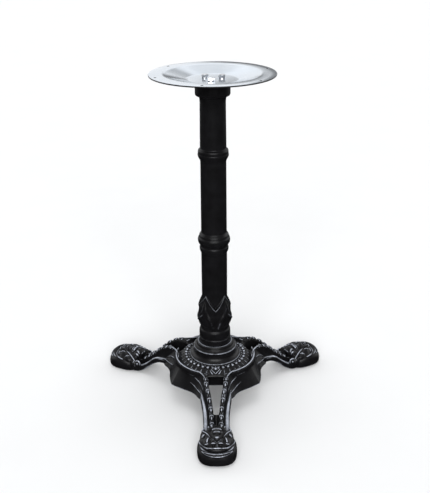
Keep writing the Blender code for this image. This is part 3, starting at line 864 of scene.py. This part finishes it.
DISH_DROPS = (
    (0.5, 11.5), (47, 11.5), (50.5, 11.4), (53, 10.9), (56, 10.1), (91, 2), (94.5, 0.9), (97.5, 0.25),
    (101, 0), (110, 0),
)
EDGE_DROPS = ((0.7, 0), (0.25, 0.12), (0, 0.5), (0, 1.4), (0.1, 2.2), (0.6, 2.8), (1.3, 3))
UNDER_DROPS = ((101, 3), (97, 3.4), (93, 4.4), (57, 13.1), (53, 14.1), (49, 14.5), (0.5, 14.5))
SCREW_HOLE_R = 2.8
SCREW_CIRCLE_R = 116


def plate():
    """The dished plate with eased bends and edge, and its screw and bolt holes."""
    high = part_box("top_plate")[1]
    top, radius = high.z / MM, high.x / MM
    edge = [(radius - inset, drop) for inset, drop in EDGE_DROPS]
    outline = [(r, top - drop) for r, drop in (*DISH_DROPS, *edge, *UNDER_DROPS)]
    shape = Shape()
    shape.add(solid_turned(outline, 240))
    obj = shape.object("top_plate_detail")
    holes = Shape()
    for k in range(6):
        holes.add(pin(SCREW_HOLE_R, top + 3, top - 8, 32), at_angle(20 + 60 * k, SCREW_CIRCLE_R))
    for angle in BOLT_ANGLES:
        holes.add(pin(TOP_BOLT_HOLE_R, top, top - 25, 32), at_angle(angle, TOP_BOLT_CIRCLE_R))
    combine(obj, holes.object("plate_holes"), "DIFFERENCE")
    return smooth_shaded(obj, 40)


def hexagon(apothem, z, chamfer_from=None):
    """A hexagon's outline at a height. Past the radius chamfer_from it falls away at 30 degrees."""
    corner = apothem / math.cos(math.pi / 6)
    ring = []
    for k in range(6):
        start = around(60 * k) @ Vector((corner, 0, z))
        end = around(60 * (k + 1)) @ Vector((corner, 0, z))
        for j in range(8):
            p = start.lerp(end, j / 8)
            if chamfer_from is not None:
                p.z -= (math.hypot(p.x, p.y) - chamfer_from) * math.tan(math.pi / 6)
            ring.append(p)
    return ring


def hex_head(apothem, bottom, top):
    """A bolt head with the turned chamfer of a real one on its upper side."""
    flat_r = apothem * 0.93
    face = []
    for p in hexagon(apothem, top):
        r = math.hypot(p.x, p.y)
        face.append(Vector((p.x * flat_r / r, p.y * flat_r / r, top)))
    return loft([hexagon(apothem, bottom), hexagon(apothem, top, flat_r), face])


def threaded(radius, top, bottom, pitch):
    """A threaded shank, whose thread runs out at both ends."""
    depth = 0.6 * pitch
    sides = 24
    rows = int((top - bottom) / pitch * 6)
    sections = []
    for k in range(rows + 1):
        z = bottom + (top - bottom) * k / rows
        fade = min(1.0, (z - bottom) / pitch, (top - z) / pitch)
        ring = []
        for j, (c, w) in enumerate(circle(sides)):
            phase = (z / pitch - j / sides) % 1.0
            crest = min(1.0, 1.25 * (1 - abs(phase - 0.5) * 2))
            r = radius - depth * (1 - crest * fade)
            ring.append((r * c, r * w, z))
        sections.append(ring)
    return loft(sections)


def bolt(name, apothem, height, shank_r, length, pitch, place):
    """A hexagon bolt that points down, with the underside of its head at z = 0."""
    shape = Shape()
    shape.add(hex_head(apothem, 0, height), place)
    shape.add(threaded(shank_r, 0.2, -length, pitch), place)
    return smooth_shaded(shape.object(name), 30)


def washer(name, inner, outer, thick, place):
    """A flat washer with eased edges."""
    ease = 0.22
    top = [(inner, thick - ease), (inner + ease, thick), (outer - ease, thick), (outer, thick - ease)]
    shape = Shape()
    shape.add(turned(top + [(r, thick - z) for r, z in reversed(top)], 64), place)
    return smooth_shaded(shape.object(name), 30)


def stands(node):
    """The centre of a CAD node in plan, with its lowest and highest point."""
    low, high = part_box(node)
    return (low.x + high.x) / 2 / MM, (low.y + high.y) / 2 / MM, low.z / MM, high.z / MM


def stud(name, node):
    """A levelling stud: ball, neck, hexagon collar and threaded shank."""
    x, y, low, high = stands(node)
    place = Matrix.Translation((x, y, 0))
    ball_r = 4.8
    centre = low + ball_r
    shape = Shape()
    shape.add(blob((0, 0, centre), (ball_r, ball_r, ball_r), 32), place)
    shape.add(pin(3.2, centre + 6, centre + 2, 32), place)
    shape.add(hex_head(6.5, centre + 5, centre + 9), place)
    shape.add(threaded(4.0, high, centre + 8, 1.25), place)
    return smooth_shaded(shape.object(name), 30)


def pad(name, node):
    """A swivel pad: a low ribbed disc with the cup that holds the stud's ball."""
    x, y, low, high = stands(node)
    cup, centre, rise = 5.1, 8.0, high - low
    outer = [(4.02, rise), (7.3, rise), (7.9, rise - 0.4), (8.5, 9), (9.5, 6.2), (10.6, 5.3), (13.6, 4.6)]
    outer += [(14.6, 4.1), (15, 3.3), (15, 0.9), (14.7, 0.3), (14.1, 0)]
    inner = [(0.8, 0), (0.8, centre - math.sqrt(cup**2 - 0.64))]
    for degrees in range(-75, 36, 10):
        lean = math.radians(degrees)
        inner.append((cup * math.cos(lean), centre + cup * math.sin(lean)))
    shape = Shape()
    shape.add(turned(outer + inner, 72), Matrix.Translation((x, y, low)))
    return smooth_shaded(shape.object(name), 35)


# ---- materials


class Nodes:
    """A node tree under construction, with short names for the nodes it needs."""

    def __init__(self, tree):
        self.tree = tree

    def feed(self, value, socket):
        """Link a socket, or set a number or a colour."""
        if isinstance(value, bpy.types.NodeSocket):
            self.tree.links.new(value, socket)
        elif isinstance(value, tuple):
            socket.default_value = (*value, 1)
        else:
            socket.default_value = value

    def node(self, kind, inputs=()):
        """A new node of a kind, with (name, value) pairs for its inputs."""
        made = self.tree.nodes.new("ShaderNode" + kind)
        for name, value in inputs:
            self.feed(value, made.inputs[name])
        return made

    def maths(self, operation, a, b=0.0):
        """One Math node on sockets or numbers."""
        made = self.node("Math", ((0, a), (1, b)))
        made.operation = operation
        return made.outputs["Value"]

    def times(self, a, b):
        """The product of two sockets or numbers."""
        return self.maths("MULTIPLY", a, b)

    def plus(self, a, b):
        """The sum of two sockets or numbers."""
        return self.maths("ADD", a, b)

    def rest(self, a):
        """What a leaves of 1."""
        return self.maths("SUBTRACT", 1.0, a)

    def ramp(self, source, low, high, out_low=0.0, out_high=1.0, smooth=False):
        """Map a range of a value to another range, held at its ends."""
        limits = (("From Min", low), ("From Max", high), ("To Min", out_low), ("To Max", out_high))
        made = self.node("MapRange", (("Value", source), *limits))
        if smooth:
            made.interpolation_type = "SMOOTHSTEP"
        return made.outputs["Result"]


class Finish(Nodes):
    """A material under construction."""

    def __init__(self, name):
        self.material = bpy.data.materials.new(name)
        self.material.use_nodes = True
        super().__init__(self.material.node_tree)
        self.shader = self.tree.nodes["Principled BSDF"]

    def set(self, name, value):
        """Set or link one input of the shader."""
        self.feed(value, self.shader.inputs[name])

    def noise(self, scale, detail=4.0, roughness=0.6):
        """Noise fixed to the piece, at a scale in cycles per metre."""
        look = (("Scale", scale), ("Detail", detail), ("Roughness", roughness))
        place = self.node("TexCoord").outputs["Object"]
        return self.node("TexNoise", (("Vector", place), *look)).outputs["Fac"]

    def attribute(self, name):
        """A number stored on the mesh's points."""
        made = self.node("Attribute")
        made.attribute_name = name
        return made.outputs["Fac"]

    def up(self):
        """How far the true surface faces up."""
        normal = self.node("NewGeometry").outputs["True Normal"]
        return self.node("SeparateXYZ", (("Vector", normal),)).outputs["Z"]

    def mix(self, factor, a, b):
        """Mix two colours."""
        made = self.node("Mix")
        made.data_type = "RGBA"
        color_a, color_b = [socket for socket in made.inputs if socket.type == "RGBA"]
        self.feed(factor, made.inputs["Factor"])
        self.feed(a, color_a)
        self.feed(b, color_b)
        return [socket for socket in made.outputs if socket.type == "RGBA"][0]

    def open_from_behind(self):
        """Let the back of the surface be seen through."""
        back = self.node("NewGeometry").outputs["Backfacing"]
        clear = self.node("BsdfTransparent").outputs[0]
        either = self.node("MixShader", ((0, back), (1, self.shader.outputs[0]), (2, clear)))
        self.feed(either.outputs[0], self.tree.nodes["Material Output"].inputs["Surface"])

    def bump(self, height, distance, strength):
        """Relief too fine to model, over a distance in metres."""
        made = self.node("Bump", (("Strength", strength), ("Distance", distance), ("Height", height)))
        self.set("Normal", made.outputs["Normal"])


BLACK = (0.0036, 0.0034, 0.0038)
BLACK_LIGHT = (0.0062, 0.006, 0.0068)
# silver of worn paint, also used as a painted highlight on the flange tops and paw knobs
WORN_SILVER_AND_HIGHLIGHT = (0.46, 0.485, 0.55)
UNDERSIDE_BLACK = (0.010, 0.010, 0.011)
STEEL = (0.67, 0.72, 0.78)
STEEL_LIGHT = (0.76, 0.80, 0.85)
ZINC = (0.66, 0.68, 0.71)
ZINC_LIGHT = (0.84, 0.85, 0.87)
NYLON = (0.018, 0.018, 0.019)
NYLON_LIGHT = (0.034, 0.034, 0.036)
FLOOR = (0.835, 0.83, 0.825)
FLOOR_LIGHT = (0.845, 0.84, 0.835)


def painted_iron(name, proud_low, proud_high, wear_and_highlight_share, specular):
    """Satin black paint on cast iron, worn to silver-grey along its sharp raised lines; on the flange tops
    and the paw knobs' buttons that silver is also a painted highlight.
    """
    finish = Finish(name)
    fine = finish.noise(420, 5, 0.65)
    broad = finish.noise(55, 3, 0.5)
    wear = finish.plus(finish.times(fine, 0.4), broad)
    patches = finish.ramp(wear, 0.45, 0.9, -0.05, 0.05)
    proud = finish.plus(finish.attribute("proud"), patches)
    # silver mask: worn paint on raised lines, and also a painted highlight on the flange tops and the paw
    # knobs' buttons
    wear_and_highlight = finish.times(finish.ramp(proud, proud_low, proud_high), wear_and_highlight_share)
    paint = finish.mix(finish.ramp(broad, 0.3, 0.7), BLACK, BLACK_LIGHT)
    finish.set("Base Color", finish.mix(wear_and_highlight, paint, WORN_SILVER_AND_HIGHLIGHT))
    finish.set("Metallic", finish.times(wear_and_highlight, 0.6))
    finish.set("Specular IOR Level", specular)
    skin = finish.ramp(fine, 0.3, 0.7, 0.27, 0.37)
    finish.set("Roughness", finish.plus(skin, finish.times(wear_and_highlight, 0.12)))
    grain = finish.plus(finish.times(fine, 0.6), finish.noise(1500, 2, 0.5))
    finish.bump(grain, 0.00022, 0.3)
    return finish.material


def plated_steel():
    """Pale plated steel on top, with its edge and underside in black paint."""
    finish = Finish("plated_steel_finish")
    upward = finish.ramp(finish.up(), 0.8, 0.93)
    cloud = finish.noise(14, 5, 0.6)
    fine = finish.noise(260, 4, 0.6)
    silver = finish.mix(finish.ramp(cloud, 0.35, 0.65), STEEL, STEEL_LIGHT)
    finish.set("Base Color", finish.mix(upward, UNDERSIDE_BLACK, silver))
    finish.set("Metallic", finish.times(upward, 0.92))
    clouded = finish.ramp(cloud, 0.3, 0.7, 0.08, 0.15)
    rough = finish.plus(clouded, finish.times(fine, 0.05))
    painted = finish.ramp(finish.up(), 0.8, 0.93, 0.3, 0.0)
    finish.set("Roughness", finish.plus(rough, painted))
    finish.bump(fine, 0.00008, 0.2)
    return finish.material


def bright_zinc():
    """Bright zinc plate with the faint clouding of small hardware."""
    finish = Finish("bright_zinc_finish")
    cloud = finish.noise(320, 4, 0.6)
    finish.set("Base Color", finish.mix(finish.ramp(cloud, 0.3, 0.7), ZINC, ZINC_LIGHT))
    finish.set("Metallic", 1.0)
    finish.set("Roughness", finish.ramp(cloud, 0.3, 0.7, 0.12, 0.24))
    finish.bump(finish.noise(1800, 2, 0.5), 0.00006, 0.3)
    return finish.material


def nylon():
    """Matte black moulded nylon."""
    finish = Finish("nylon_finish")
    grain = finish.noise(900, 3, 0.55)
    finish.set("Base Color", finish.mix(finish.ramp(grain, 0.3, 0.7), NYLON, NYLON_LIGHT))
    finish.set("Roughness", finish.ramp(grain, 0.3, 0.7, 0.5, 0.66))
    finish.bump(grain, 0.0001, 0.4)
    return finish.material


# ---- studio


FLOOR_HALF = 30


def studio_floor():
    """A large plain pale floor."""
    mesh = bpy.data.meshes.new("studio_floor")
    corners = [(-1, -1), (1, -1), (1, 1), (-1, 1)]
    mesh.from_pydata([(x * FLOOR_HALF, y * FLOOR_HALF, 0) for x, y in corners], [], [(0, 1, 2, 3)])
    floor = in_scene("studio_floor", mesh)
    finish = Finish("studio_floor_finish")
    cloud = finish.ramp(finish.noise(6, 3, 0.5), 0.3, 0.7)
    finish.set("Base Color", finish.mix(cloud, FLOOR, FLOOR_LIGHT))
    finish.set("Roughness", 0.95)
    finish.set("Specular IOR Level", 0.0)
    finish.open_from_behind()
    floor.data.materials.append(finish.material)
    floor.visible_glossy = False


class Sky(Nodes):
    """The studio's soft light as a function of direction."""

    def __init__(self):
        world = bpy.context.scene.world or bpy.data.worlds.new("studio")
        bpy.context.scene.world = world
        world.use_nodes = True
        super().__init__(world.node_tree)
        place = self.node("TexCoord").outputs["Generated"]
        self.x, self.y, self.z = self.node("SeparateXYZ", (("Vector", place),)).outputs

    def band(self, source, low, high):
        """A smooth rise from 0 to 1."""
        return self.ramp(source, low, high, smooth=True)

    def show(self, strength, backdrop):
        """Light the scene with a strength, and show a plain backdrop behind it."""
        seen = self.node("LightPath").outputs["Is Camera Ray"]
        lit = self.times(strength, self.rest(seen))
        background = self.tree.nodes["Background"]
        self.feed(SKY_COLOUR, background.inputs["Color"])
        total = self.plus(lit, self.times(seen, backdrop))
        self.feed(total, background.inputs["Strength"])

    def window(self, source, low, high, soft):
        """1 between two values, with soft ends."""
        rise = self.band(source, low - soft, low + soft)
        fall = self.rest(self.band(source, high - soft, high + soft))
        return self.times(rise, fall)


CAP_LIGHT = 2.3
KEY_LIGHT = 8.0
DOME_LIGHT = 0.2
UPPER_BACK_LIGHT = 0.7
BACK_LIGHT = 1.0
SIDE_LIGHT = 1.6
FRONT_LIGHT = 0.3
AMBIENT_LIGHT = 0.015
PANEL_SHADE = 0.82
BACKDROP = 1.0
SKY_COLOUR = (0.97, 0.985, 1.0)


def studio_light():
    """An overhead cap, soft boxes in front and at each side, and a pale wall behind with a grey panel."""
    sky = Sky()
    total = sky.times(sky.band(sky.z, 0.92, 0.96), CAP_LIGHT)

    def add(amount, *shares):
        nonlocal total
        part = amount
        for share in shares:
            part = sky.times(share, part)
        total = sky.plus(total, part)

    front = sky.rest(sky.band(sky.y, -0.35, 0.0))
    behind = sky.band(sky.y, 0.1, 0.5)
    aside = sky.band(sky.maths("ABSOLUTE", sky.x), 0.7, 0.85)
    panels = []
    for left, top in ((0.0, 0.2), (0.095, 0.5)):
        across = sky.window(sky.x, left, 0.4, 0.03)
        panels.append(sky.times(across, sky.window(sky.z, -0.3, top, 0.06)))
    shade = sky.times(sky.maths("MAXIMUM", *panels), PANEL_SHADE)
    open_wall = sky.rest(shade)
    add(DOME_LIGHT, sky.band(sky.z, 0.2, 0.6))
    add(KEY_LIGHT, front, sky.window(sky.x, -0.36, 0.36, 0.08), sky.window(sky.z, 0.16, 0.6, 0.06))
    add(BACK_LIGHT, behind, sky.window(sky.z, -0.16, 0.58, 0.06), open_wall)
    add(UPPER_BACK_LIGHT, behind, sky.window(sky.z, 0.58, 0.9, 0.06))
    add(SIDE_LIGHT, aside, sky.window(sky.z, 0.12, 0.5, 0.06), sky.band(sky.y, -0.25, 0.05))
    add(FRONT_LIGHT, front, sky.band(sky.z, 0.0, 0.2))
    add(AMBIENT_LIGHT, 1.0)
    sky.show(total, BACKDROP)


LENS_MM = 58.53
SENSOR_MM = 36
CAMERA_HEADING = -0.535
CAMERA_TILT = 90 - 23.29
CAMERA_ROLL = -0.518
CAMERA_PLACE = (0.0019, -1.5577, 1.0248)


def camera():
    """The camera, looking down at the base from a standing height."""
    lens = bpy.data.cameras.new("camera")
    lens.sensor_width = SENSOR_MM
    lens.lens = LENS_MM
    obj = in_scene("camera", lens)
    heading = Matrix.Rotation(math.radians(CAMERA_HEADING), 4, "Z")
    tilt = Matrix.Rotation(math.radians(CAMERA_TILT), 4, "X")
    roll = Matrix.Rotation(math.radians(CAMERA_ROLL), 4, "Z")
    obj.matrix_world = heading @ Matrix.Translation(CAMERA_PLACE) @ tilt @ roll
    bpy.context.scene.camera = obj


# ---- putting it together


def dress(obj, material, body, node):
    """Give a piece its finish, put it on its body and let it stand for its CAD node."""
    obj.data.materials.clear()
    obj.data.materials.append(material)
    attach(obj, body)
    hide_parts(node)


SEAT_GAP = 0.3
WASHERS = {"top": (4.3, 8.2), "base": (5.3, 9.5)}
BOLTS = {"top": (6.5, 5.3, 4.0, 24, 1.25), "base": (8.0, 6.4, 5.0, 28, 1.5)}


def fasteners(end, k, zinc):
    """A bolt and its washer, on the plate or beneath the hub."""
    node = f"{end}_washer_{k}"
    x, y, low, high = stands(node)
    ring = washer(node + "_detail", *WASHERS[end], high - low, Matrix.Translation((x, y, low)))
    dress(ring, zinc, "base", node)
    node = f"{end}_bolt_{k}"
    if end == "top":
        place = Matrix.Translation((x, y, high + SEAT_GAP)) @ around(BOLT_ANGLES[k - 1] + 11 * k)
    else:
        place = Matrix.Translation((x, y, low - SEAT_GAP)) @ Matrix.Rotation(math.pi, 4, "X")
    dress(bolt(node + "_detail", *BOLTS[end], place), zinc, "base", node)


def build():
    """Make every piece and dress it."""
    zinc = bright_zinc()
    plastic = nylon()
    base_paint = painted_iron("painted_base_finish", 0.13, 0.36, 1.0, 0.18)
    dress(base_casting(), base_paint, "base", "base_casting")
    column_paint = painted_iron("painted_column_finish", 0.12, 0.34, 0.4, 0.13)
    dress(column(), column_paint, "base", "column_casting")
    dress(plate(), plated_steel(), "base", "top_plate")
    for k in (1, 2, 3):
        fasteners("top", k, zinc)
        fasteners("base", k, zinc)
        node = f"leveller_stud_{k}"
        dress(stud(node + "_detail", node), zinc, f"stud_{k}", node)
        node = f"leveller_pad_{k}"
        dress(pad(node + "_detail", node), plastic, f"pad_{k}", node)


build()
studio_floor()
studio_light()
camera()
bpy.context.scene.view_settings.view_transform = "Standard"
